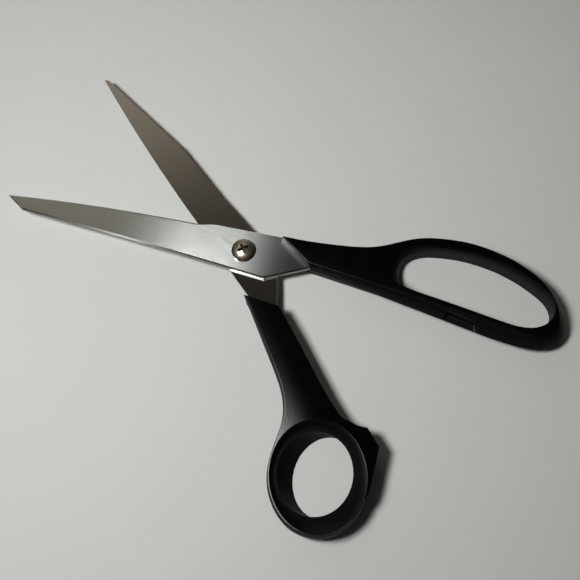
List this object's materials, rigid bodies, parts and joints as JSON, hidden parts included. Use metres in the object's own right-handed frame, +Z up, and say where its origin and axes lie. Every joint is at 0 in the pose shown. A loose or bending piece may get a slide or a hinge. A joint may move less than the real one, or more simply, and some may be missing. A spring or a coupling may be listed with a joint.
{
  "type": "office scissors",
  "caption": "Office scissors with two steel blades on a screw pivot, a long oval finger bow, a round thumb ring, and a tab that stops the closing.",
  "frame": {"origin": "on the pivot axis, in the plane that the scissors lie on (the screw's tail end face)", "axes": "+Z up along the pivot axis, towards the screw head; +X from the pivot to the tip of the finger blade; +Y towards the thumb ring's side"},
  "size_m": [0.2044, 0.1446, 0.0106],
  "materials": {
    "blade_steel": "brushed, with a ground facet on the cutting edge",
    "handle_plastic": "matte, fine moulded grain",
    "screw_nickel": "polished nickel plate",
    "washer_steel": "zinc plated",
    "nut_steel": "zinc plated"
  },
  "bodies": {
    "finger_side": {"finger_blade": "blade_steel", "finger_handle": "handle_plastic", "pivot_screw": "screw_nickel", "pivot_washer": "washer_steel", "pivot_nut": "nut_steel"},
    "thumb_side": {"thumb_blade": "blade_steel", "thumb_handle": "handle_plastic"}
  },
  "joints": [
    {"name": "pivot", "type": "hinge", "parent": "finger_side", "child": "thumb_side", "pos_m": [0, 0, 0], "axis": [0, 0, 1], "range_deg": [-74, 37]}
  ]
}
